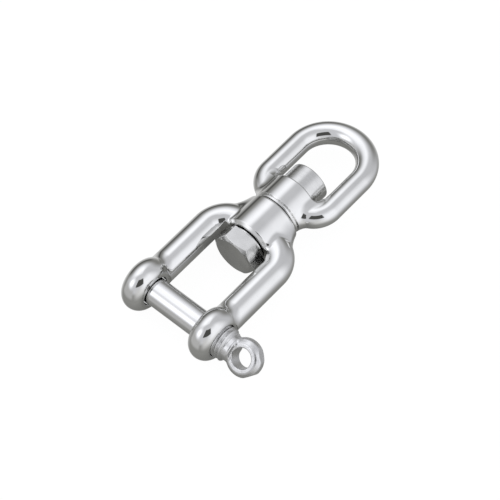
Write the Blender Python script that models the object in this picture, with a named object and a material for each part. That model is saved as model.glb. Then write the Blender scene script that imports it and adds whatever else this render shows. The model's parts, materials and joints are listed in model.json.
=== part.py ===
"""Jaw-and-eye anchor swivel for 10 mm chain, in cast and polished stainless steel.

A jaw (fork) and an oval eye turn on one swivel bolt, whose hex head bears inside the jaw
and whose round nut bears inside the eye. A screw pin closes the jaw. Metres, +Z up.

Every piece is built in the swivel's own axes: X along the clevis pin towards its eye head,
Y along the swivel axis from the jaw to the eye, Z up, and the origin on the swivel axis in
the parting plane between jaw and eye. One empty then carries all of it to the part's frame,
whose origin is at the bottom centre of the whole box.
"""

import math

import bmesh
import bpy
from mathutils import Matrix, Vector

# Clevis pin
PIN_Y = -0.0492
PIN_RADIUS = 0.0050
PIN_TIP_X = -0.0194
PIN_SPLIT_X = 0.0140
THREAD_RADIUS = 0.00595
THREAD_END_X = 0.0230
COLLAR_RADIUS = 0.0049
HEAD_X = 0.0297
HEAD_RADIUS = 0.00685
HEAD_HALF_THICKNESS = 0.00275
HEAD_HOLE_RADIUS = 0.0037
HEAD_RIM = 0.0012
HEAD_TURN = math.radians(45.0)

# Jaw
EAR_X = 0.01525
EAR_RADIUS = 0.0100
EAR_HALF_THICKNESS = 0.00495
EAR_BORE_RADIUS = 0.00525
THREADED_BORE_RADIUS = 0.0062
SPOT_FACE_RADIUS = 0.0070
SPOT_FACE_DEPTH = 0.0004
ARM_RADIUS = 0.0053
ARM_ROOT_RADIUS = 0.0074
ARM_X = 0.0151
ARM_ROOT_Y = -0.0098
ARM_BEND_RADIUS = 0.0085
JAW_BARREL_RADIUS = 0.0097
JAW_BARREL_LENGTH = 0.0145
JAW_CUTTER_RADIUS = 0.0104
JAW_CUTTER_END_Y = -0.0265

# Eye
EYE_BARREL_RADIUS = 0.0093
EYE_BARREL_LENGTH = 0.0114
EYE_BAR_RADIUS = 0.00413
EYE_ROOT_RADIUS = 0.0056
EYE_HALF_WIDTH = 0.01385
EYE_ROOT_Y = 0.0066
EYE_BEND_RADIUS = 0.0072
EYE_ARCH_Y = 0.0292
EYE_ARCH_RATIO = 0.948
EYE_CUTTER_RADIUS = 0.0096
EYE_CUTTER_END_Y = 0.0185
EYE_TURN = math.radians(-4.0)

# Swivel bolt and round nut
BOLT_RADIUS = 0.0050
BARREL_BORE_RADIUS = 0.00525
HEX_ACROSS_FLATS = 0.0160
HEX_LENGTH = 0.0061
HEX_CHAMFER_RADIUS = 0.0075
HEX_CHAMFER_ANGLE = math.radians(30.0)
HEX_TURN = math.radians(6.0)
NUT_RADIUS = 0.0076
NUT_LENGTH = 0.0077
NUT_BORE_RADIUS = 0.0052

# Clearances and facets
PARTING_GAP = 0.0003
SEAT_GAP = 0.0003
HEX_SEAT_GAP = 0.0012
OVERSHOOT = 0.002
ROUND_SIDES = 48
BAR_SIDES = 24
CUTTER_PHASE = 0.37
EDGE_BREAK = 0.0004
SMOOTH_ANGLE = math.radians(35.0)

# The part's frame: the swivel's axes, moved so that the box's bottom centre is the origin
BOX_LOW_X = -ARM_X - ARM_RADIUS
BOX_HIGH_X = HEAD_X + HEAD_RADIUS
BOX_LOW_Y = PIN_Y - EAR_RADIUS
BOX_HIGH_Y = EYE_ARCH_Y + EYE_HALF_WIDTH * EYE_ARCH_RATIO + EYE_BAR_RADIUS
FRAME_OFFSET = Vector((-(BOX_LOW_X + BOX_HIGH_X) / 2, -(BOX_LOW_Y + BOX_HIGH_Y) / 2, EAR_RADIUS))

ALONG_X = Matrix.Rotation(math.pi / 2, 4, "Y")
ALONG_Y = Matrix.Rotation(-math.pi / 2, 4, "X")


def clear_scene():
    for old in list(bpy.data.objects):
        bpy.data.objects.remove(old, do_unlink=True)


def steel(name, colour, roughness):
    """A plain stainless steel material."""
    material = bpy.data.materials.new(name)
    material.use_nodes = True
    shader = material.node_tree.nodes["Principled BSDF"]
    shader.inputs["Base Color"].default_value = (*colour, 1.0)
    shader.inputs["Metallic"].default_value = 1.0
    shader.inputs["Roughness"].default_value = roughness
    return material


def make_object(name, solid, parent, location=(0.0, 0.0, 0.0), material=None):
    """Turn a bmesh into a named object under its parent, shaded smooth on its round faces."""
    bmesh.ops.recalc_face_normals(solid, faces=solid.faces)
    mesh = bpy.data.meshes.new(name)
    solid.to_mesh(mesh)
    solid.free()
    mesh.shade_smooth()
    mesh.set_sharp_from_angle(angle=SMOOTH_ANGLE)
    piece = bpy.data.objects.new(name, mesh)
    bpy.context.scene.collection.objects.link(piece)
    piece.parent = parent
    piece.location = location
    if material is not None:
        mesh.materials.append(material)
    return piece


def use_tool(piece, tool, operation):
    """Join a tool's solid to a piece, or cut it away. The tool itself isn't part of the swivel."""
    tool.hide_render = True
    tool.display_type = "WIRE"
    boolean = piece.modifiers.new(tool.name, "BOOLEAN")
    boolean.operation = operation
    boolean.solver = "EXACT"
    boolean.object = tool


def turned(profile, sides=ROUND_SIDES, phase=0.0):
    """A closed solid of revolution about Z, from (radius, height) points, bottom to top.

    A point of radius 0 closes that end. A profile that ends away from the axis gets a flat end.
    phase turns the facets, in facets, so that a cutter's corners miss those of what it cuts.
    """
    solid = bmesh.new()
    rings = []
    for radius, height in profile:
        if radius == 0.0:
            rings.append([solid.verts.new((0.0, 0.0, height))])
            continue
        angles = [2 * math.pi * (i + phase) / sides for i in range(sides)]
        points = [(radius * math.cos(a), radius * math.sin(a), height) for a in angles]
        rings.append([solid.verts.new(point) for point in points])
    for low, high in zip(rings, rings[1:]):
        for i in range(sides):
            j = (i + 1) % sides
            corners = [low[i % len(low)], low[j % len(low)], high[j % len(high)], high[i % len(high)]]
            solid.faces.new(list(dict.fromkeys(corners)))
    for ring in (rings[0], rings[-1]):
        if len(ring) > 1:
            solid.faces.new(ring)
    return solid


def rod(radius, start, end, axis, edge=0.0, phase=0.0):
    """A round rod about the X or Y axis from start to end, its edges broken by a small chamfer."""
    profile = [(radius, start), (radius, end)]
    if edge:
        inset = radius - edge
        profile = [(inset, start), (radius, start + edge), (radius, end - edge), (inset, end)]
    solid = turned(profile, phase=phase)
    solid.transform(axis)
    return solid


def cutter(radius, start, end, axis):
    """A drill or a milling cutter about the X or Y axis, from start to end."""
    return rod(radius, start, end, axis, phase=CUTTER_PHASE)


def bar(route, sides=BAR_SIDES):
    """A round bar in the XY plane along (x, y, radius) stations, closed by flat ends."""
    solid = bmesh.new()
    rings = []
    for i, (x, y, radius) in enumerate(route):
        before = route[max(i - 1, 0)]
        after = route[min(i + 1, len(route) - 1)]
        along = Vector((after[0] - before[0], after[1] - before[1], 0.0)).normalized()
        across = Vector((-along.y, along.x, 0.0))
        angles = [2 * math.pi * k / sides for k in range(sides)]
        middle = Vector((x, y, 0.0))
        spokes = [math.cos(a) * across + math.sin(a) * Vector((0, 0, 1)) for a in angles]
        rings.append([solid.verts.new(middle + radius * spoke) for spoke in spokes])
    for low, high in zip(rings, rings[1:]):
        for k in range(sides):
            j = (k + 1) % sides
            solid.faces.new((low[k], low[j], high[j], high[k]))
    solid.faces.new(rings[0])
    solid.faces.new(rings[-1])
    return solid


def bend(corner_x, root_y, bend_radius, turn, radii, steps=9):
    """Stations round a quarter bend from a straight leg at corner_x in to its root on the barrel.

    turn is +1 where the leg runs down to -Y and -1 where it runs up to +Y. The bar's radius
    grows from the first of radii, at the leg, to the second, at the root.
    """
    stations = []
    for i in range(steps + 1):
        t = i / steps
        angle = t * math.pi / 2
        x = corner_x - bend_radius * (1 - math.cos(angle))
        y = root_y - turn * bend_radius * (1 - math.sin(angle))
        stations.append((x, y, radii[0] + (radii[1] - radii[0]) * t * t))
    return stations


def mirrored(route):
    """The same stations on the other side of the swivel axis."""
    return [(-x, y, radius) for x, y, radius in route]


def rounded_disc(radius, half_thickness, steps=7):
    """A disc about X whose rim is a full half circle, as an ear is cast."""
    flat = radius - half_thickness
    profile = [(0.0, -half_thickness)]
    for i in range(steps * 2 + 1):
        angle = -math.pi / 2 + math.pi * i / (steps * 2)
        profile.append((flat + half_thickness * math.cos(angle), half_thickness * math.sin(angle)))
    profile.append((0.0, half_thickness))
    solid = turned(profile)
    solid.transform(ALONG_X)
    return solid


def make_jaw(frame, finish):
    """The cast fork: barrel, two round arms and two bulbed ears, drilled and spot-faced."""
    end = -PARTING_GAP / 2
    jaw = make_object(
        "jaw",
        rod(JAW_BARREL_RADIUS, -JAW_BARREL_LENGTH, end, ALONG_Y, edge=EDGE_BREAK),
        frame,
        material=finish,
    )
    arm = [(ARM_X, PIN_Y, ARM_RADIUS)]
    arm += bend(ARM_X, ARM_ROOT_Y, ARM_BEND_RADIUS, 1, (ARM_RADIUS, ARM_ROOT_RADIUS))
    for side, route in (("left", mirrored(arm)), ("right", arm)):
        use_tool(jaw, make_object(f"{side}_arm_form", bar(route), frame), "UNION")
    for side, x in (("left", -EAR_X), ("right", EAR_X)):
        ear = rounded_disc(EAR_RADIUS, EAR_HALF_THICKNESS)
        use_tool(jaw, make_object(f"{side}_ear_form", ear, frame, (x, PIN_Y, 0.0)), "UNION")

    outer = EAR_X + EAR_HALF_THICKNESS - SPOT_FACE_DEPTH
    inner = EAR_X - EAR_HALF_THICKNESS + SPOT_FACE_DEPTH
    beyond = EAR_X + EAR_RADIUS
    on_swivel_axis = (0.0, 0.0, 0.0)
    on_pin_axis = (0.0, PIN_Y, 0.0)
    drill_start = -JAW_BARREL_LENGTH - OVERSHOOT
    cuts = [
        ("root_cutter", (JAW_CUTTER_RADIUS, JAW_CUTTER_END_Y, -JAW_BARREL_LENGTH, ALONG_Y), on_swivel_axis),
        ("parting_cutter", (ARM_X, end, ARM_X, ALONG_Y), on_swivel_axis),
        ("bolt_drill", (BARREL_BORE_RADIUS, drill_start, OVERSHOOT, ALONG_Y), on_swivel_axis),
        ("inner_face_cutter", (SPOT_FACE_RADIUS, -inner, inner, ALONG_X), on_pin_axis),
        ("outer_face_cutter", (SPOT_FACE_RADIUS, outer, beyond, ALONG_X), on_pin_axis),
        ("far_ear_drill", (EAR_BORE_RADIUS, -beyond, 0.0, ALONG_X), on_pin_axis),
        ("near_ear_drill", (THREADED_BORE_RADIUS, 0.0, beyond + OVERSHOOT, ALONG_X), on_pin_axis),
    ]
    for name, size, place in cuts:
        use_tool(jaw, make_object(name, cutter(*size), frame, place), "DIFFERENCE")
    return jaw


def make_eye(frame, finish):
    """The cast eye: barrel and an oval ring of round bar, drilled and spot-faced for the nut."""
    start = PARTING_GAP / 2
    eye = make_object(
        "eye",
        rod(EYE_BARREL_RADIUS, start, EYE_BARREL_LENGTH, ALONG_Y, edge=EDGE_BREAK),
        frame,
        material=finish,
    )
    radii = (EYE_BAR_RADIUS, EYE_ROOT_RADIUS)
    rising = bend(EYE_HALF_WIDTH, EYE_ROOT_Y, EYE_BEND_RADIUS, -1, radii)[::-1]
    arch_steps = 20
    arch = []
    for i in range(arch_steps + 1):
        angle = math.pi * i / arch_steps
        rise = EYE_HALF_WIDTH * EYE_ARCH_RATIO * math.sin(angle)
        arch.append((EYE_HALF_WIDTH * math.cos(angle), EYE_ARCH_Y + rise, EYE_BAR_RADIUS))
    ring = rising + arch + mirrored(rising)[::-1]
    use_tool(eye, make_object("eye_ring_form", bar(ring), eye), "UNION")

    cuts = [
        ("nut_face_cutter", (EYE_CUTTER_RADIUS, EYE_BARREL_LENGTH, EYE_CUTTER_END_Y, ALONG_Y)),
        ("eye_parting_cutter", (EYE_HALF_WIDTH, -EYE_HALF_WIDTH, start, ALONG_Y)),
        ("eye_drill", (BARREL_BORE_RADIUS, -OVERSHOOT, EYE_BARREL_LENGTH + OVERSHOOT, ALONG_Y)),
    ]
    for name, size in cuts:
        use_tool(eye, make_object(name, cutter(*size), eye), "DIFFERENCE")
    eye.rotation_euler.y = EYE_TURN
    return eye


def make_swivel_bolt(frame, finish):
    """The hex-headed bolt that carries the load from jaw to eye."""
    seat = -JAW_BARREL_LENGTH - HEX_SEAT_GAP
    nut_end = EYE_BARREL_LENGTH + SEAT_GAP + NUT_LENGTH
    bolt = make_object(
        "swivel_bolt",
        rod(BOLT_RADIUS, seat - HEX_LENGTH / 2, nut_end, ALONG_Y, edge=EDGE_BREAK),
        frame,
        material=finish,
    )
    corner_radius = HEX_ACROSS_FLATS / 2 / math.cos(math.pi / 6)
    blank_radius = corner_radius + EDGE_BREAK
    chamfer = (blank_radius - HEX_CHAMFER_RADIUS) * math.tan(HEX_CHAMFER_ANGLE)
    blank = turned(
        [
            (HEX_CHAMFER_RADIUS, seat - HEX_LENGTH),
            (blank_radius, seat - HEX_LENGTH + chamfer),
            (blank_radius, seat),
        ]
    )
    blank.transform(ALONG_Y)
    head = make_object("hex_head_form", blank, bolt)
    hexagon = turned([(corner_radius, -OVERSHOOT), (corner_radius, HEX_LENGTH + OVERSHOOT)], sides=6)
    hexagon.transform(Matrix.Translation((0.0, seat - HEX_LENGTH, 0.0)) @ ALONG_Y)
    hexagon.transform(Matrix.Rotation(HEX_TURN, 4, "Y"))
    use_tool(head, make_object("hex_flats_form", hexagon, bolt), "INTERSECT")
    use_tool(bolt, head, "UNION")
    return bolt


def make_round_nut(frame, finish):
    """The round nut on the bolt's end, a plain turned collar."""
    start = EYE_BARREL_LENGTH + SEAT_GAP
    nut = make_object(
        "round_nut",
        rod(NUT_RADIUS, start, start + NUT_LENGTH, ALONG_Y, edge=EDGE_BREAK),
        frame,
        material=finish,
    )
    drill = cutter(NUT_BORE_RADIUS, start - OVERSHOOT, start + NUT_LENGTH + OVERSHOOT, ALONG_Y)
    use_tool(nut, make_object("nut_drill", drill, nut), "DIFFERENCE")
    return nut


def make_pin_shank(frame, finish):
    """The pin's plain shank, which crosses the jaw and ends in the far ear."""
    shank = rod(PIN_RADIUS, PIN_TIP_X, PIN_SPLIT_X, ALONG_X, edge=EDGE_BREAK)
    return make_object("pin_shank", shank, frame, (0.0, PIN_Y, 0.0), finish)


def make_pin_head(frame, finish):
    """The pin's threaded neck, its collar and the flat eye head that a marlin spike turns."""
    start = PIN_SPLIT_X + SEAT_GAP
    neck = turned(
        [
            (THREAD_RADIUS - EDGE_BREAK, start),
            (THREAD_RADIUS, start + EDGE_BREAK),
            (THREAD_RADIUS, THREAD_END_X - EDGE_BREAK),
            (COLLAR_RADIUS, THREAD_END_X + EDGE_BREAK),
            (COLLAR_RADIUS, HEAD_X - HEAD_HOLE_RADIUS - EDGE_BREAK),
        ]
    )
    neck.transform(ALONG_X)
    head = make_object("pin_head", neck, frame, (0.0, PIN_Y, 0.0), finish)

    rim = HEAD_RADIUS - HEAD_RIM
    rise = HEAD_HALF_THICKNESS - HEAD_RIM
    plate = turned(
        [
            (rim, -HEAD_HALF_THICKNESS),
            (HEAD_RADIUS, -rise),
            (HEAD_RADIUS, rise),
            (rim, HEAD_HALF_THICKNESS),
        ]
    )
    hole = turned(
        [(HEAD_HOLE_RADIUS, -HEAD_RADIUS), (HEAD_HOLE_RADIUS, HEAD_RADIUS)],
        phase=CUTTER_PHASE,
    )
    for form in (plate, hole):
        form.transform(Matrix.Translation((HEAD_X, 0.0, 0.0)) @ Matrix.Rotation(HEAD_TURN, 4, "X"))
    use_tool(head, make_object("head_plate_form", plate, head), "UNION")
    use_tool(head, make_object("head_hole_drill", hole, head), "DIFFERENCE")
    return head


def build():
    clear_scene()
    frame = bpy.data.objects.new("swivel_axes", None)
    bpy.context.scene.collection.objects.link(frame)
    frame.location = FRAME_OFFSET
    polished = steel("polished_steel", (0.80, 0.80, 0.80), 0.06)
    satin = steel("satin_steel", (0.70, 0.70, 0.70), 0.28)
    make_jaw(frame, polished)
    make_eye(frame, polished)
    make_swivel_bolt(frame, satin)
    make_round_nut(frame, satin)
    make_pin_shank(frame, polished)
    make_pin_head(frame, satin)


build()
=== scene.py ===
import json
import math

import bpy
import numpy as np
from mathutils import Matrix, Vector


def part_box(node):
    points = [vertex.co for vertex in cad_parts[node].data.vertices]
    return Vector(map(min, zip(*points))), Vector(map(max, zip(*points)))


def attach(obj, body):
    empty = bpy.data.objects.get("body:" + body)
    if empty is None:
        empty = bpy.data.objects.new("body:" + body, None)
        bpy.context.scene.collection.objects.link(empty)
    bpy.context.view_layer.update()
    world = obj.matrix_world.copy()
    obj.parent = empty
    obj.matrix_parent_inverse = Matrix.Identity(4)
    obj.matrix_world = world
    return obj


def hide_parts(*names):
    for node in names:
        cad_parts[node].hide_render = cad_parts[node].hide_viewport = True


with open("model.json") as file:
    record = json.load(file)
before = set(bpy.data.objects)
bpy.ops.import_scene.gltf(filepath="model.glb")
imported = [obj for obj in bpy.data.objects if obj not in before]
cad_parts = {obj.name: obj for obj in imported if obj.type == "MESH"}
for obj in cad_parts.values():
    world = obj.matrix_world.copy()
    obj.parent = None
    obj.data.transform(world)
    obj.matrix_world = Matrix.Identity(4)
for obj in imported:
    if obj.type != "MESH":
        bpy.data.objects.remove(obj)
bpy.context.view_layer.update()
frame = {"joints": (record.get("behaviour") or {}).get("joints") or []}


# ---------------------------------------------------------------------------------------------
# Camera. The swivel is seen from above and in front, over the pin's eye head, through a long
# lens that keeps its sides nearly parallel. Its place is counted from the swivel's own axes: X along
# the pin, Y along the swivel axis from jaw to eye, and the origin in the parting plane.
# ---------------------------------------------------------------------------------------------
MM = 0.001
joint_at = {joint["name"]: joint.get("pos_m") for joint in frame["joints"]}
swivel_origin = Vector(joint_at["eye_swivel"])

camera_azimuth = math.radians(44.0)
camera_elevation = math.radians(57.12)
camera_roll = math.radians(-3.33)
camera_distance = 774.2 * MM
camera_aim = swivel_origin + Vector((2.85, -16.04, 0.0)) * MM

towards_camera = Vector(
    (
        math.sin(camera_azimuth) * math.cos(camera_elevation),
        -math.cos(camera_azimuth) * math.cos(camera_elevation),
        math.sin(camera_elevation),
    )
)
camera_data = bpy.data.cameras.new("studio_camera")
camera_data.sensor_width = 36.0
camera_data.lens = 162.5
camera_data.clip_start = 0.01
camera_data.clip_end = 50.0
camera = bpy.data.objects.new("studio_camera", camera_data)
bpy.context.scene.collection.objects.link(camera)
camera.rotation_mode = "QUATERNION"
camera.location = camera_aim + towards_camera * camera_distance
look = (-towards_camera).to_track_quat("-Z", "Y").to_matrix().to_4x4()
camera.rotation_quaternion = (look @ Matrix.Rotation(camera_roll, 4, "Z")).to_quaternion()
bpy.context.scene.camera = camera


# ---------------------------------------------------------------------------------------------
# Jaw. A stainless investment casting: a barrel, two round arms that bend into it, and two
# bulbed ears. The roots are filleted, the barrel's bore, its seat for the bolt head and the
# ears' faces are machined, and the rest is polished to a mirror.
# ---------------------------------------------------------------------------------------------
def node_box(node):
    """A node's lowest and highest corners in the swivel's axes, in millimetres."""
    low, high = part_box(node)
    return (low - swivel_origin) / MM, (high - swivel_origin) / MM


# A shape is a function of x, y and z in millimetres. It gives the distance to the shape's
# surface, which is negative inside.
def steepest(shape, points, reach=0.02):
    """The direction in which the distance to a shape grows, at each point."""
    slope = []
    for axis in range(3):
        shift = np.zeros(3)
        shift[axis] = reach
        slope.append((shape(*(points + shift).T) - shape(*(points - shift).T)) / (2 * reach))
    return np.stack(slope, 1)


def join(first, second, fillet):
    """Both shapes as one, with the concave fillet that a ball leaves between them.

    fillet is the ball's radius, or a function of x, y and z that gives it from place to place.
    """

    def shape(x, y, z):
        a = first(x, y, z)
        b = second(x, y, z)
        ball = fillet(x, y, z) if callable(fillet) else np.full_like(x, fillet)
        distance = np.minimum(a, b)
        near = (np.maximum(a, b) < ball) & (distance > -ball)
        if near.any():
            points = np.stack([x[near], y[near], z[near]], 1)
            one, other = steepest(first, points), steepest(second, points)
            cosine = (one * other).sum(1)
            cosine /= np.linalg.norm(one, axis=1) * np.linalg.norm(other, axis=1) + 1e-9
            # Where the surfaces run almost along each other the corner has no place of its own
            cosine = np.clip(cosine, -0.9, 0.999)
            ball = ball[near]
            deep_a, deep_b = ball - a[near], ball - b[near]
            deepest = np.maximum(deep_a, deep_b)
            square = deep_a**2 + deep_b**2 - 2 * cosine * deep_a * deep_b
            corner = np.sqrt(np.maximum(square, 0.0) / (1 - cosine**2))
            in_corner = np.minimum(deep_a, deep_b) > cosine * deepest
            distance[near] = ball - np.where(in_corner, corner, deepest)
        return distance

    return shape


def cut(body, tool, edge):
    """A shape with a tool's shape taken out of it, and the edge that it leaves rounded."""

    def shape(x, y, z):
        solid = body(x, y, z)
        left = -tool(x, y, z)
        outside = np.hypot(np.maximum(edge + solid, 0.0), np.maximum(edge + left, 0.0))
        return np.minimum(-edge, np.maximum(solid, left)) + outside

    return shape


def within(side, end, edge):
    """The distance to a solid with a rounded edge, from the distances to the faces that meet there.

    Both are counted from faces that lie deeper than the real ones by the edge's radius.
    """
    outside = np.hypot(np.maximum(side, 0.0), np.maximum(end, 0.0))
    return np.minimum(np.maximum(side, end), 0.0) + outside - edge


def cylinder(axis, radius, low, high, edge=0.1, centre=(0.0, 0.0, 0.0)):
    """A cylinder along the X or Y axis, from low to high along it, its edges rounded."""

    def shape(x, y, z):
        x, y, z = x - centre[0], y - centre[1], z - centre[2]
        along, across = (x, y) if axis == "X" else (y, x)
        side = np.hypot(across, z) - radius + edge
        end = np.abs(along - (low + high) / 2) - (high - low) / 2 + edge
        return within(side, end, edge)

    return shape


def beyond(axis, place, side):
    """Everything past a plane across the X or Y axis: side is 1 for its high side, -1 for its low."""

    def shape(x, y, z):
        along = x if axis == "X" else y
        return (place - along) * side

    return shape


def round_bars(route, samples):
    """A left and a right round bar in the XY plane, each along its own centre line.

    route(t) gives the right one's place and radius, for t from 0 to 1 along it. The nearest t is
    looked for among a few samples first, and then drawn closer in three steps.
    """

    def shape(x, y, z):
        x = np.abs(x)

        def square(t):
            centre_x, centre_y, _ = route(t)
            return (x - centre_x) ** 2 + (y - centre_y) ** 2

        nearest = np.zeros_like(x)
        least = square(nearest)
        for t in np.linspace(0.0, 1.0, samples)[1:]:
            here = square(np.full_like(x, t))
            nearest = np.where(here < least, t, nearest)
            least = np.minimum(here, least)
        step = 1.0 / samples
        small = step * 0.1
        for _ in range(3):
            before, now, after = square(nearest - small), square(nearest), square(nearest + small)
            slope = (after - before) / (2 * small)
            curve = np.maximum((after - 2 * now + before) / small**2, 1e-6)
            nearest = np.clip(nearest - np.clip(slope / curve, -step, step), 0.0, 1.0)
        centre_x, centre_y, radius = route(nearest)
        return np.sqrt((x - centre_x) ** 2 + (y - centre_y) ** 2 + z * z) - radius

    return shape


def casting_mesh(name, field, low, high, cell):
    """A smooth closed mesh of the surface where field(x, y, z) is 0, in millimetres.

    One vertex is set in each grid cell that the surface crosses, the cells round each crossed
    edge are joined by a face, and the vertices are then drawn on to the surface itself. The
    shading normals are the surface's own, so that a polished face mirrors without facets.
    """
    axes = [np.arange(low[k] - 1.5 * cell, high[k] + 2.5 * cell, cell) for k in range(3)]
    counts = [len(axis) for axis in axes]
    values = np.empty(counts)
    slab = 12
    for start in range(0, counts[0], slab):
        grid = np.meshgrid(axes[0][start : start + slab], axes[1], axes[2], indexing="ij")
        values[start : start + slab] = field(*grid)
    inside = values < 0.0

    cells = [count - 1 for count in counts]
    corners = [(i, j, k) for i in (0, 1) for j in (0, 1) for k in (0, 1)]

    def corner(array, offset):
        i, j, k = offset
        return array[i : i + cells[0], j : j + cells[1], k : k + cells[2]]

    filled = sum(corner(inside, offset).astype(np.int8) for offset in corners)
    crossed = (filled > 0) & (filled < 8)
    where = np.argwhere(crossed)
    number = np.full(cells, -1)
    number[crossed] = np.arange(len(where))

    total = np.zeros((len(where), 3))
    hits = np.zeros(len(where))
    for first in corners:
        for axis in range(3):
            if first[axis] == 1:
                continue
            second = tuple(1 if k == axis else first[k] for k in range(3))
            a = values[tuple((where + first).T)]
            b = values[tuple((where + second).T)]
            through = (a < 0.0) != (b < 0.0)
            share = np.where(through, a / np.where(through, a - b, 1.0), 0.0)
            point = where + np.array(first, float)
            point[:, axis] += share
            total[through] += point[through]
            hits[through] += 1
    spots = total / hits[:, None] * cell + np.array([axis[0] for axis in axes])

    faces = []
    for axis in range(3):
        u, v = (axis + 1) % 3, (axis + 2) % 3
        a = np.take(inside, range(0, counts[axis] - 1), axis)
        b = np.take(inside, range(1, counts[axis]), axis)
        edges = np.argwhere(a != b)
        edges = edges[(edges[:, u] > 0) & (edges[:, v] > 0)]
        edges = edges[(edges[:, u] < cells[u]) & (edges[:, v] < cells[v])]
        outward = a[tuple(edges.T)]
        ring = []
        for du, dv in ((-1, -1), (0, -1), (0, 0), (-1, 0)):
            shifted = edges.copy()
            shifted[:, u] += du
            shifted[:, v] += dv
            ring.append(number[tuple(shifted.T)])
        quads = np.stack(ring, 1)
        faces.append(np.where(outward[:, None], quads, quads[:, ::-1]))
    faces = np.concatenate(faces)

    for _ in range(3):
        slope = steepest(field, spots)
        steep = np.maximum((slope**2).sum(1), 0.05)
        move = -(field(*spots.T) / steep)[:, None] * slope
        spots = spots + np.clip(move, -cell, cell)

    slope = steepest(field, spots)
    normals = slope / np.linalg.norm(slope, axis=1)[:, None]
    mesh = bpy.data.meshes.new(name)
    mesh.from_pydata((spots * MM).tolist(), [], faces.tolist())
    mesh.shade_smooth()
    mesh.normals_split_custom_set_from_vertices(normals.tolist())
    return mesh


def show(name, mesh, body, nodes, material, turn=0.0):
    """Put a mesh made in the swivel's axes on its body, in place of its CAD nodes.

    turn is how far the piece has turned about the swivel axis.
    """
    piece = bpy.data.objects.new(name, mesh)
    bpy.context.scene.collection.objects.link(piece)
    mesh.transform(Matrix.Rotation(turn, 4, "Y"))
    piece.matrix_world = Matrix.Translation(swivel_origin)
    mesh.materials.append(material)
    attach(piece, body)
    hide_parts(*nodes)
    return piece


def node_group(name, inputs, outputs):
    """An empty shader node group with named sockets, and its input and output sockets by name."""
    group = bpy.data.node_groups.new(name, "ShaderNodeTree")
    kinds = {"value": "NodeSocketFloat", "colour": "NodeSocketColor"}
    for socket, kind in inputs.items():
        group.interface.new_socket(socket, in_out="INPUT", socket_type=kinds[kind])
    for socket, kind in outputs.items():
        group.interface.new_socket(socket, in_out="OUTPUT", socket_type=kinds[kind])
    entry = group.nodes.new("NodeGroupInput").outputs
    result = group.nodes.new("NodeGroupOutput").inputs
    return group, entry, result


def put(tree, value, socket):
    """Set a socket to a number or a colour, or link it to another node's output."""
    if isinstance(value, bpy.types.NodeSocket):
        tree.links.new(value, socket)
    else:
        socket.default_value = value


def maths(tree, operation, *values):
    """A Math node's result, from numbers or from other nodes' outputs."""
    node = tree.nodes.new("ShaderNodeMath")
    node.operation = operation
    for socket, value in zip(node.inputs, values):
        put(tree, value, socket)
    return node.outputs[0]


def ramp(tree, value, low, high, from_low=0.0, from_high=1.0):
    """A value taken from one range to another, and held within it."""
    node = tree.nodes.new("ShaderNodeMapRange")
    for socket, number in zip(node.inputs, (value, from_low, from_high, low, high)):
        put(tree, number, socket)
    return node.outputs["Result"]


def noise(tree, place, scale, detail=2.0, dimensions="3D"):
    """Soft noise about 0.5, at a place in space or, in one dimension, at a distance."""
    node = tree.nodes.new("ShaderNodeTexNoise")
    node.noise_dimensions = dimensions
    put(tree, place, node.inputs["W" if dimensions == "1D" else "Vector"])
    put(tree, scale, node.inputs["Scale"])
    node.inputs["Detail"].default_value = detail
    return node.outputs["Fac"]


def blend(tree, share, first, second):
    """One colour taken towards another, by a share from 0 to 1."""
    node = tree.nodes.new("ShaderNodeMix")
    node.data_type = "RGBA"
    put(tree, share, node.inputs["Factor"])
    put(tree, first, node.inputs["A"])
    put(tree, second, node.inputs["B"])
    return node.outputs["Result"]


def millimetres(tree):
    """The place on the piece in millimetres, in the swivel's axes."""
    node = tree.nodes.new("ShaderNodeVectorMath")
    node.operation = "SCALE"
    tree.links.new(tree.nodes.new("ShaderNodeTexCoord").outputs["Object"], node.inputs[0])
    node.inputs["Scale"].default_value = 1.0 / MM
    return node.outputs[0]


# Steel's colour, a little duller in soft patches
steel_tone, entry, result = node_group(
    "steel_tone",
    {"Clean Steel": "colour", "Dull Steel": "colour", "Patch Size": "value"},
    {"Color": "colour"},
)
patch_scale = maths(steel_tone, "DIVIDE", 1.0, entry["Patch Size"])
patches = noise(steel_tone, millimetres(steel_tone), patch_scale)
dullness = ramp(steel_tone, patches, 0.0, 1.0, from_low=0.35, from_high=0.65)
tone = blend(steel_tone, dullness, entry["Clean Steel"], entry["Dull Steel"])
put(steel_tone, tone, result["Color"])

# Hairlines that the polishing wheel leaves, running from the jaw to the eye
wheel_marks, entry, result = node_group(
    "wheel_marks",
    {"Spacing": "value", "Length": "value", "Roughness": "value", "Mark Roughness": "value"},
    {"Roughness": "value"},
)
stretch = wheel_marks.nodes.new("ShaderNodeVectorMath")
stretch.operation = "DIVIDE"
size = wheel_marks.nodes.new("ShaderNodeCombineXYZ")
for socket, name in (("X", "Spacing"), ("Y", "Length"), ("Z", "Spacing")):
    put(wheel_marks, entry[name], size.inputs[socket])
put(wheel_marks, millimetres(wheel_marks), stretch.inputs[0])
put(wheel_marks, size.outputs[0], stretch.inputs[1])
streaks = noise(wheel_marks, stretch.outputs[0], 1.0, detail=3.0)
hairs = ramp(wheel_marks, streaks, 0.0, 1.0, from_low=0.5, from_high=0.72)
step = maths(wheel_marks, "SUBTRACT", entry["Mark Roughness"], entry["Roughness"])
rough = maths(wheel_marks, "MULTIPLY_ADD", hairs, step, entry["Roughness"])
put(wheel_marks, rough, result["Roughness"])

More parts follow.
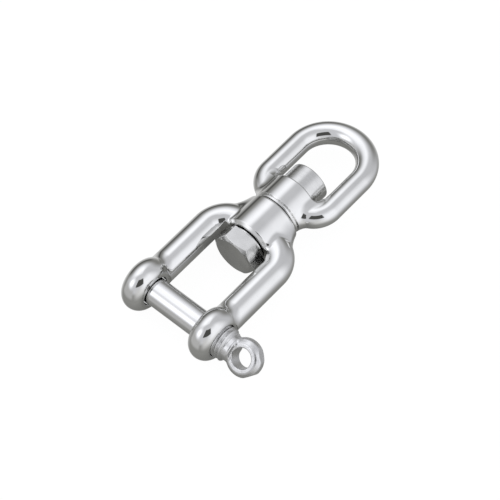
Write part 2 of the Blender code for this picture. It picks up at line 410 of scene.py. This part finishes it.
# The surface as it left the mould: long soft waves that polishing can't take out, and a fine grain
cast_surface, entry, result = node_group(
    "cast_surface",
    {"Wave Size": "value", "Grain Size": "value", "Grain Share": "value"},
    {"Height": "value"},
)
place = millimetres(cast_surface)
wave_scale = maths(cast_surface, "DIVIDE", 1.0, entry["Wave Size"])
grain_scale = maths(cast_surface, "DIVIDE", 1.0, entry["Grain Size"])
waves = noise(cast_surface, place, wave_scale, detail=1.0)
grain = noise(cast_surface, place, grain_scale, detail=3.0)
height = maths(cast_surface, "MULTIPLY_ADD", grain, entry["Grain Share"], waves)
put(cast_surface, height, result["Height"])


def use_group(tree, group, **values):
    """Place a node group with its own values, whose names have _ for each space."""
    node = tree.nodes.new("ShaderNodeGroup")
    node.node_tree = group
    for name, value in values.items():
        put(tree, value, node.inputs[name.replace("_", " ")])
    return node.outputs


def steel(name, clean, dull, patch_size):
    """A new steel material: its node tree and its shader, with the colour done."""
    material = bpy.data.materials.new(name)
    material.use_nodes = True
    tree = material.node_tree
    shader = tree.nodes["Principled BSDF"]
    shader.inputs["Metallic"].default_value = 1.0
    tone = use_group(
        tree,
        steel_tone,
        Clean_Steel=(*clean, 1.0),
        Dull_Steel=(*dull, 1.0),
        Patch_Size=patch_size,
    )
    put(tree, tone["Color"], shader.inputs["Base Color"])
    return material, tree, shader


def relief(tree, shader, height, depth):
    """Let a height from 0 to 1 stand out by this depth, in metres."""
    bump = tree.nodes.new("ShaderNodeBump")
    bump.inputs["Distance"].default_value = depth
    put(tree, height, bump.inputs["Height"])
    put(tree, bump.outputs["Normal"], shader.inputs["Normal"])


jaw_low, jaw_high = node_box("jaw")
shank_low, shank_high = node_box("pin_shank")
pin_y = (shank_low.y + shank_high.y) / 2
ear_radius = (jaw_high.z - jaw_low.z) / 2
ear_half_thickness = 4.95
ear_x = 15.25
arm_radius = 5.3
arm_x = jaw_high.x - arm_radius
arm_root_radius = 5.7
arm_bend_radius = 8.5
arm_root_y = -9.8
jaw_barrel_radius = 9.7
jaw_seat_y = -14.5
parting_y = jaw_high.y
near_root_fillet = 3.2
far_root_fillet = 1.5
web_fillet = 10.3
web_from = 0.35
neck_fillet = 4.6
seat_bevel_width = 1.15
parting_edge = 0.8
casting_stock = 4.0
head_room_radius = 10.5
head_room_end_y = -25.5
swivel_bore_radius = 5.25
swivel_bore_start_y = -16.0
drill_past_parting = 2.0
spot_face_radius = 7.0
spot_face_depth_x = 10.7
outer_face_x = 19.8
far_bore_radius = 5.65
near_bore_radius = 6.15
clear_of_ear_x = 26.0


def arm_route(t):
    """The arm's centre line: up the straight arm, round the shoulder and into the barrel."""
    straight = arm_root_y - arm_bend_radius - pin_y
    curved = arm_bend_radius * math.pi / 2
    inner = arm_x - arm_bend_radius
    along = t * (straight + curved + inner)
    angle = np.clip((along - straight) / arm_bend_radius, 0.0, math.pi / 2)
    past = np.maximum(along - straight - curved, 0.0)
    x = inner + arm_bend_radius * np.cos(angle) - past
    y = pin_y + np.minimum(along, straight) + arm_bend_radius * np.sin(angle)
    swell = np.sin(angle) ** 2
    return x, y, arm_radius + (arm_root_radius - arm_radius) * swell


def ears(x, y, z):
    """Two discs across the pin, their rims rounded to a half circle."""
    rim = np.maximum(np.hypot(y - pin_y, z) - (ear_radius - ear_half_thickness), 0.0)
    return np.hypot(rim, np.abs(x) - ear_x) - ear_half_thickness


def root_fillet(past, z, over, web):
    """The ball's radius round a bar's root: over on the bar, growing to web in the web behind it.

    past is how far a place lies behind the bar's centre line, and z how far above or below it.
    The web starts where past makes up web_from of the whole distance to the line.
    """
    behind = past / (np.hypot(past, z) + 1e-6)
    back = np.clip((behind - web_from) / (1 - web_from), 0.0, 1.0)
    return over + (web - over) * back * back * (3 - 2 * back)


def jaw_root_fillet(x, y, z):
    """Tight over the far arm, opened by the wheel over the near one."""
    over = far_root_fillet + (near_root_fillet - far_root_fillet) * (x > 0)
    return root_fillet(y - arm_root_y, z, over, web_fillet)


def seat_bevel(x, y, z):
    """Everything past the 45 degree bevel round the seat of the bolt head."""
    reach = jaw_barrel_radius - seat_bevel_width + y - jaw_seat_y
    return (reach - np.hypot(x, z)) * math.sqrt(0.5)


on_pin = (0.0, pin_y, 0.0)
jaw = join(round_bars(arm_route, samples=15), ears, neck_fillet)
barrel = cylinder("Y", jaw_barrel_radius, jaw_seat_y, casting_stock)
jaw = join(jaw, cut(barrel, seat_bevel, edge=0.12), jaw_root_fillet)
jaw = cut(jaw, beyond("Y", parting_y, 1), parting_edge)

head_room = cylinder("Y", head_room_radius, head_room_end_y, jaw_seat_y)
swivel_bore = cylinder("Y", swivel_bore_radius, swivel_bore_start_y, drill_past_parting)
gap = cylinder("X", spot_face_radius, -spot_face_depth_x, spot_face_depth_x, centre=on_pin)
outer_face = cylinder("X", spot_face_radius, outer_face_x, clear_of_ear_x, centre=on_pin)
far_bore = cylinder("X", far_bore_radius, -clear_of_ear_x, 0.0, centre=on_pin)
near_bore = cylinder("X", near_bore_radius, 0.0, clear_of_ear_x, centre=on_pin)
jaw = cut(jaw, head_room, edge=0.25)
jaw = cut(jaw, swivel_bore, edge=0.3)
jaw = cut(jaw, gap, edge=0.2)
jaw = cut(jaw, outer_face, edge=0.2)
jaw = cut(jaw, far_bore, edge=0.3)
jaw = cut(jaw, near_bore, edge=0.6)

polished, tree, shader = steel(
    "polished_casting", clean=(0.82, 0.82, 0.81), dull=(0.77, 0.77, 0.76), patch_size=9.0
)
marks = use_group(tree, wheel_marks, Spacing=0.3, Length=7.0, Roughness=0.04, Mark_Roughness=0.09)
put(tree, marks["Roughness"], shader.inputs["Roughness"])
surface = use_group(tree, cast_surface, Wave_Size=4.5, Grain_Size=0.7, Grain_Share=0.05)
relief(tree, shader, surface["Height"], depth=0.012 * MM)

jaw_mesh = casting_mesh("jaw_casting", jaw, jaw_low, jaw_high, cell=0.35)
show("jaw_casting", jaw_mesh, "jaw", ["jaw"], polished)


# ---------------------------------------------------------------------------------------------
# Eye. The other stainless casting: a barrel of the same kind and an oval ring of round bar that
# runs out of its sides. A groove turned round the barrel sets off a bright land at the parting,
# and a spot-face makes room for the nut. It stands a few degrees off the jaw, as it came to rest.
# ---------------------------------------------------------------------------------------------
eye_turn = math.radians(-4.0)
eye_bar_radius = 4.13
eye_root_radius = 4.3
eye_half_width = 13.85
eye_root_y = 6.6
eye_bend_radius = 7.2
eye_arch_y = 29.2
eye_arch_height = 13.13
eye_barrel_radius = 9.3
eye_seat_y = 11.4
eye_seat_edge = 0.7
eye_over_fillet = 4.2
eye_web_fillet = 4.8
eye_parting_y = 0.15
groove_y = 1.35
groove_radius = 0.16
nut_room_radius = 9.6
nut_room_end_y = 18.5
eye_bore_end_y = 12.0


def eye_route(t):
    """The eye's centre line on one side: out of the barrel, up the leg and over half the arch."""
    inner = eye_half_width - eye_bend_radius
    curved = eye_bend_radius * math.pi / 2
    straight = eye_arch_y - eye_root_y - eye_bend_radius
    arch = eye_half_width * math.pi / 2
    along = t * (inner + curved + straight + arch)
    out = np.minimum(along, inner)
    angle = np.clip((along - inner) / eye_bend_radius, 0.0, math.pi / 2)
    up = np.clip(along - inner - curved, 0.0, straight)
    over = np.maximum(along - inner - curved - straight, 0.0) / eye_half_width
    x = out + eye_bend_radius * np.sin(angle) - eye_half_width * (1 - np.cos(over))
    y = eye_root_y + eye_bend_radius * (1 - np.cos(angle)) + up + eye_arch_height * np.sin(over)
    swell = np.cos(angle) ** 2
    return x, y, eye_bar_radius + (eye_root_radius - eye_bar_radius) * swell


def eye_root_fillet(x, y, z):
    """The same over both legs, and a little wider in the web between a leg and the barrel."""
    return root_fillet(eye_root_y - y, z, eye_over_fillet, eye_web_fillet)


def groove(x, y, z):
    """A narrow groove turned round the barrel, which leaves a bright land at the parting."""
    inward = np.maximum(eye_barrel_radius - groove_radius - np.hypot(x, z), 0.0)
    return np.hypot(inward, y - groove_y) - groove_radius


eye_barrel = cylinder("Y", eye_barrel_radius, -casting_stock, eye_seat_y, eye_seat_edge)
eye = join(round_bars(eye_route, samples=22), eye_barrel, eye_root_fillet)
nut_room = cylinder("Y", nut_room_radius, eye_seat_y, nut_room_end_y)
eye_bore = cylinder("Y", swivel_bore_radius, -drill_past_parting, eye_bore_end_y)
eye = cut(eye, beyond("Y", eye_parting_y, -1), edge=0.5)
eye = cut(eye, groove, edge=0.12)
eye = cut(eye, nut_room, edge=0.25)
eye = cut(eye, eye_bore, edge=0.3)

eye_low, eye_high = node_box("eye")
eye_mesh = casting_mesh("eye_casting", eye, eye_low, eye_high, cell=0.35)
show("eye_casting", eye_mesh, "eye", ["eye"], polished, eye_turn)


# ---------------------------------------------------------------------------------------------
# Swivel bolt. A stainless hex bolt that carries the load from the jaw to the eye. Its head has a
# washer face under it and a chamfer on its end, and bears on the jaw's barrel. It is turned and
# milled and left satin, with the marks of the tools on it.
# ---------------------------------------------------------------------------------------------
bolt_low, bolt_high = node_box("swivel_bolt")
bolt_radius = 5.0
hex_across_flats = 16.0
hex_seat_y = -15.5
hex_end_y = bolt_low.y
hex_turn = math.radians(6.0)
hex_chamfer_radius = 7.3
hex_chamfer_angle = math.radians(30.0)
hex_edge = 0.08
washer_radius = 7.7
washer_start_y = hex_seat_y - 1.0
washer_end_y = -14.8
bolt_shank_start_y = hex_end_y + 3.0


def flat(angle, distance):
    """Everything past a flat at this distance from the swivel axis, facing this angle."""

    def shape(x, y, z):
        return distance - x * math.cos(angle) - z * math.sin(angle)

    return shape


def chamfer(x, y, z):
    """Everything past the cone that takes the corners off the head's end."""
    past_end = (hex_end_y - y) * math.cos(hex_chamfer_angle)
    return -past_end - (np.hypot(x, z) - hex_chamfer_radius) * math.sin(hex_chamfer_angle)


# The head is milled from a blank that is wider than its corners
bolt = cylinder("Y", hex_across_flats, hex_end_y, hex_seat_y, hex_edge)
for side in range(6):
    facing = side * math.pi / 3 + math.pi / 6 - hex_turn
    bolt = cut(bolt, flat(facing, hex_across_flats / 2), hex_edge)
bolt = cut(bolt, chamfer, hex_edge)
washer_face = cylinder("Y", washer_radius, washer_start_y, washer_end_y)
bolt_shank = cylinder("Y", bolt_radius, bolt_shank_start_y, bolt_high.y, edge=0.5)
bolt = join(bolt, washer_face, fillet=0.1)
bolt = join(bolt, bolt_shank, fillet=0.4)

# Fine rings that a lathe tool leaves, at a place given by how far the tool has travelled
lathe_marks, entry, result = node_group(
    "lathe_marks",
    {"Travel": "value", "Pitch": "value", "Roughness": "value", "Mark Roughness": "value"},
    {"Roughness": "value", "Height": "value"},
)
turns = maths(lathe_marks, "DIVIDE", 1.0, entry["Pitch"])
rings = noise(lathe_marks, entry["Travel"], turns, detail=3.0, dimensions="1D")
step = maths(lathe_marks, "SUBTRACT", entry["Mark Roughness"], entry["Roughness"])
band = ramp(lathe_marks, rings, 0.0, 1.0, from_low=0.35, from_high=0.65)
rough = maths(lathe_marks, "MULTIPLY_ADD", band, step, entry["Roughness"])
put(lathe_marks, rough, result["Roughness"])
put(lathe_marks, rings, result["Height"])


def tool_travel(tree, axis):
    """How far along an axis of the swivel and out from it the lathe tool is, in millimetres."""
    split = tree.nodes.new("ShaderNodeSeparateXYZ")
    put(tree, millimetres(tree), split.inputs[0])
    along, across = split.outputs["Y"], split.outputs["X"]
    if axis == "X":
        across = maths(tree, "SUBTRACT", along, pin_y)
        along = split.outputs["X"]
    height = split.outputs["Z"]
    square = maths(tree, "MULTIPLY_ADD", height, height, maths(tree, "POWER", across, 2.0))
    return maths(tree, "ADD", along, maths(tree, "SQRT", square))


satin, tree, shader = steel(
    "turned_steel", clean=(0.75, 0.75, 0.74), dull=(0.68, 0.68, 0.67), patch_size=5.0
)
travel = tool_travel(tree, "Y")
rings = use_group(tree, lathe_marks, Travel=travel, Pitch=0.9, Roughness=0.15, Mark_Roughness=0.26)
put(tree, rings["Roughness"], shader.inputs["Roughness"])
relief(tree, shader, rings["Height"], depth=0.004 * MM)

bolt_mesh = casting_mesh("hex_bolt", bolt, bolt_low, bolt_high, cell=0.2)
show("hex_bolt", bolt_mesh, "swivel_bolt", ["swivel_bolt"], satin)


# ---------------------------------------------------------------------------------------------
# Round nut. A plain turned collar of stainless steel, screwed on the bolt's end inside the eye
# and riveted over, so that it can't work loose. It turns with the bolt.
# ---------------------------------------------------------------------------------------------
nut_low, nut_high = node_box("round_nut")
nut_bore_radius = 5.1
nut_overshoot = 2.0
nut = cylinder("Y", nut_high.x, nut_low.y, nut_high.y, edge=0.4)
nut_bore = cylinder("Y", nut_bore_radius, nut_low.y - nut_overshoot, nut_high.y + nut_overshoot)
nut = cut(nut, nut_bore, edge=0.3)
nut_mesh = casting_mesh("nut_collar", nut, nut_low, nut_high, cell=0.25)
show("nut_collar", nut_mesh, "swivel_bolt", ["round_nut"], satin)


# ---------------------------------------------------------------------------------------------
# Pin shank. The plain part of the clevis pin, 10 mm stainless bar ground smooth, which crosses
# the jaw and ends in the far ear. A spigot runs on into the screwed neck, inside the near ear.
# ---------------------------------------------------------------------------------------------
pin_radius = 5.0
pin_edge = 0.5
spigot_radius = 4.0
spigot_root = 5.0
spigot_reach = 2.0
shank = cylinder("X", pin_radius, shank_low.x, shank_high.x, pin_edge, on_pin)
spigot_start, spigot_end = shank_low.x + spigot_root, shank_high.x + spigot_reach
spigot = cylinder("X", spigot_radius, spigot_start, spigot_end, pin_edge, on_pin)
shank = join(shank, spigot, fillet=0.2)
spigot_high = shank_high + Vector((spigot_reach, 0, 0))
shank_mesh = casting_mesh("ground_shank", shank, shank_low, spigot_high, cell=0.3)

ground, tree, shader = steel(
    "ground_steel", clean=(0.82, 0.82, 0.82), dull=(0.78, 0.78, 0.78), patch_size=6.0
)
travel = tool_travel(tree, "X")
rings = use_group(tree, lathe_marks, Travel=travel, Pitch=0.5, Roughness=0.08, Mark_Roughness=0.16)
put(tree, rings["Roughness"], shader.inputs["Roughness"])
relief(tree, shader, rings["Height"], depth=0.001 * MM)
show("ground_shank", shank_mesh, "pin_shank", ["pin_shank"], ground)


# ---------------------------------------------------------------------------------------------
# Pin head. The clevis pin's screwed neck and the flat eye that a marlin spike turns. It is one
# with the pin, its plate is bevelled all round with a flat on each side of its far end, and it is
# tumbled and not polished, so that it keeps a fine grain.
# ---------------------------------------------------------------------------------------------
head_low, head_high = node_box("pin_head")
thread_radius = 5.95
thread_pitch = 1.5
thread_depth = 0.75
thread_steepness = 1.35
thread_land = 0.15
thread_edge = 0.4
thread_easing = 0.75
thread_end_x = 23.0
collar_radius = 4.9
collar_edge = 0.8
collar_root = 1.0
head_x = 29.7
plate_radius = 6.85
plate_half = 2.75
plate_hole = 3.65
plate_turn = math.radians(45.0)
plate_edge = 0.3
plate_bevel = 1.5
plate_root_x = 25.5
facet_angle = math.radians(41.0)
facet_distance = 6.42


def thread(x, y, z):
    """The neck's right-hand thread, its flanks slanting between flat crests and roots."""
    turn = np.arctan2(z, y - pin_y) / (2 * math.pi)
    wave = np.abs((x / thread_pitch - turn) % 1.0 - 0.5) * 2
    valley = thread_depth * np.clip(wave * thread_steepness - thread_land, 0.0, 1.0)
    # The flanks lie aslant to the radius, so they are nearer than it says
    return (np.hypot(y - pin_y, z) - thread_radius + valley) * thread_easing


def across_plate(y, z):
    """How far a point lies from the plate's middle plane, and how far along it from the pin."""
    across = (y - pin_y) * math.cos(plate_turn) - z * math.sin(plate_turn)
    through = (y - pin_y) * math.sin(plate_turn) + z * math.cos(plate_turn)
    return across, through


def plate(x, y, z):
    """A disc on edge, turned about the pin's axis."""
    across, through = across_plate(y, z)
    rim = np.hypot(x - head_x, through) - plate_radius + plate_edge
    face = np.abs(across) - plate_half + plate_edge
    return within(rim, face, plate_edge)


def bevel(x, y, z):
    """Everything past the plate's bevel, at 45 degrees between its rim and its faces."""
    across, through = across_plate(y, z)
    corner = plate_radius + plate_half - plate_bevel
    return (corner - np.hypot(x - head_x, through) - np.abs(across)) * math.sqrt(0.5)


def facet(x, y, z):
    """Everything past the flats on both sides of the plate's far end."""
    _, through = across_plate(y, z)
    out = (x - head_x) * math.cos(facet_angle) + np.abs(through) * math.sin(facet_angle)
    return facet_distance - out


def eye_hole(x, y, z):
    """The hole through the plate."""
    _, through = across_plate(y, z)
    return np.hypot(x - head_x, through) - plate_hole


head = cut(thread, beyond("X", head_low.x, -1), thread_edge)
head = cut(head, beyond("X", thread_end_x, 1), thread_edge)
collar_start = head_low.x + collar_root
collar = cylinder("X", collar_radius, collar_start, plate_root_x, collar_edge, on_pin)
head = join(head, collar, fillet=0.5)
bevelled = cut(cut(plate, bevel, edge=0.4), facet, edge=0.2)
head = join(head, bevelled, fillet=1.0)
head = cut(head, eye_hole, edge=0.4)

cast, tree, shader = steel(
    "cast_steel", clean=(0.76, 0.76, 0.76), dull=(0.69, 0.69, 0.69), patch_size=3.0
)
marks = use_group(tree, wheel_marks, Spacing=0.4, Length=0.9, Roughness=0.26, Mark_Roughness=0.38)
put(tree, marks["Roughness"], shader.inputs["Roughness"])
surface = use_group(tree, cast_surface, Wave_Size=1.6, Grain_Size=0.35, Grain_Share=0.5)
relief(tree, shader, surface["Height"], depth=0.05 * MM)

head_mesh = casting_mesh("eye_head", head, head_low, head_high, cell=0.18)
show("eye_head", head_mesh, "pin_head", ["pin_head"], cast)


# ---------------------------------------------------------------------------------------------
# Floor and light. The swivel lies on white paper in a white tent. Polished steel shows nothing
# but its surroundings, so the light is a set of softboxes and dark cards round the tent, and the
# paper mirrors in the steel as the grey of the lower room, darker close under the pieces.
# ---------------------------------------------------------------------------------------------
floor_half = 6.0
floor_mesh = bpy.data.meshes.new("floor")
corners = [(-floor_half, -floor_half, 0), (floor_half, -floor_half, 0)]
corners += [(floor_half, floor_half, 0), (-floor_half, floor_half, 0)]
floor_mesh.from_pydata(corners, [], [(0, 1, 2, 3)])
floor = bpy.data.objects.new("floor", floor_mesh)
bpy.context.scene.collection.objects.link(floor)

# To the camera the paper is white. To the steel it is clear, so that the lower room shows
# through it, and darker where a piece lies within this distance of it.
white = (1.0, 1.0, 1.0, 1.0)
shade_distance = 14.0 * MM
shade_lift = 0.35
paper = bpy.data.materials.new("paper_floor")
paper.use_nodes = True
tree = paper.node_tree
tree.nodes.clear()
shade = tree.nodes.new("ShaderNodeAmbientOcclusion")
shade.samples = 6
shade.inputs["Distance"].default_value = shade_distance
clear = tree.nodes.new("ShaderNodeBsdfTransparent")
put(tree, blend(tree, shade_lift, shade.outputs["Color"], white), clear.inputs["Color"])
glow = tree.nodes.new("ShaderNodeEmission")
glow.inputs["Strength"].default_value = 0.96
faint = tree.nodes.new("ShaderNodeBsdfDiffuse")
faint.inputs["Color"].default_value = (0.08, 0.08, 0.08, 1.0)
add = tree.nodes.new("ShaderNodeAddShader")
put(tree, glow.outputs[0], add.inputs[0])
put(tree, faint.outputs[0], add.inputs[1])
path = tree.nodes.new("ShaderNodeLightPath")
mix = tree.nodes.new("ShaderNodeMixShader")
put(tree, path.outputs["Is Camera Ray"], mix.inputs[0])
put(tree, clear.outputs[0], mix.inputs[1])
put(tree, add.outputs[0], mix.inputs[2])
out = tree.nodes.new("ShaderNodeOutputMaterial")
put(tree, mix.outputs[0], out.inputs["Surface"])
floor_mesh.materials.append(paper)

# How much of a panel shows in a direction. Its middle, its size and the softness of its edge are
# in degrees.
names = ("Azimuth", "Elevation", "Width", "Height", "Softness")
values = {name: "value" for name in names}
softbox, inputs, result = node_group("softbox", values, {"Mask": "value"})
split = softbox.nodes.new("ShaderNodeSeparateXYZ")
put(softbox, softbox.nodes.new("ShaderNodeTexCoord").outputs["Generated"], split.inputs[0])
turned = maths(softbox, "ARCTAN2", split.outputs["X"], split.outputs["Y"])
azimuth = maths(softbox, "DEGREES", turned)
elevation = maths(softbox, "DEGREES", maths(softbox, "ARCSINE", split.outputs["Z"]))
off_middle = maths(softbox, "SUBTRACT", azimuth, inputs["Azimuth"])
aside = maths(softbox, "WRAP", off_middle, 180.0, -180.0)
above = maths(softbox, "SUBTRACT", elevation, inputs["Elevation"])
masks = []
for offset, size in ((aside, "Width"), (above, "Height")):
    edge = maths(softbox, "MULTIPLY", inputs[size], 0.5)
    soft = maths(softbox, "MULTIPLY", inputs["Softness"], 0.5)
    fade = softbox.nodes.new("ShaderNodeMapRange")
    fade.interpolation_type = "SMOOTHSTEP"
    put(softbox, maths(softbox, "ABSOLUTE", offset), fade.inputs["Value"])
    put(softbox, maths(softbox, "ADD", edge, soft), fade.inputs["From Min"])
    put(softbox, maths(softbox, "SUBTRACT", edge, soft), fade.inputs["From Max"])
    masks.append(fade.outputs["Result"])
put(softbox, maths(softbox, "MULTIPLY", *masks), result["Mask"])

world = bpy.data.worlds.new("studio")
bpy.context.scene.world = world
world.use_nodes = True
tree = world.node_tree
cool = (0.975, 0.985, 1.03)
neutral = (1.0, 1.0, 1.0)
warm = (1.0, 1.0, 0.965)
tent_level = 0.69

# Azimuth is counted from the eye's end of the swivel axis towards the pin head. Each panel covers
# those above it, and level is its brightness, where 1 is white.
panels = (
    # azimuth, elevation, width, height, softness, level, tint
    (0, -55, 400, 110, 20, 0.30, warm),  # the lower room, all round
    (40, 20, 114, 92, 44, 0.63, cool),  # wall past the eye
    (-47, 0, 120, 54, 38, 0.24, warm),  # grey card past the eye, on the far ear's side
    (-64, -1, 60, 13, 13, 0.06, warm),  # black strip on that card
    (-50, -43, 98, 49, 47, 0.71, neutral),  # light from under that card
    (-156, -5, 75, 37, 20, 0.51, neutral),  # wall beyond the far ear
    (113, 0, 69, 39, 37, 0.72, neutral),  # wall beyond the pin head
    (-80, 60, 96, 40, 48, 1.35, cool),  # overhead softbox on the far ear's side
    (-152, 35, 34, 28, 27, 1.6, cool),  # small softbox beyond the far ear
    (84, 27, 62, 63, 41, 1.15, cool),  # softbox on the pin head's side
    (135, 46, 52, 33, 4, 0.08, warm),  # dark gap at the camera
)
light = tuple(tent_level * part for part in cool) + (1.0,)
for azimuth, elevation, width, height, softness, level, tint in panels:
    box = use_group(
        tree,
        softbox,
        Azimuth=azimuth,
        Elevation=elevation,
        Width=width,
        Height=height,
        Softness=softness,
    )
    light = blend(tree, box["Mask"], light, tuple(level * part for part in tint) + (1.0,))
path = tree.nodes.new("ShaderNodeLightPath")
seen = blend(tree, path.outputs["Is Camera Ray"], light, white)
put(tree, seen, tree.nodes["Background"].inputs["Color"])
bpy.context.scene.view_settings.view_transform = "Standard"
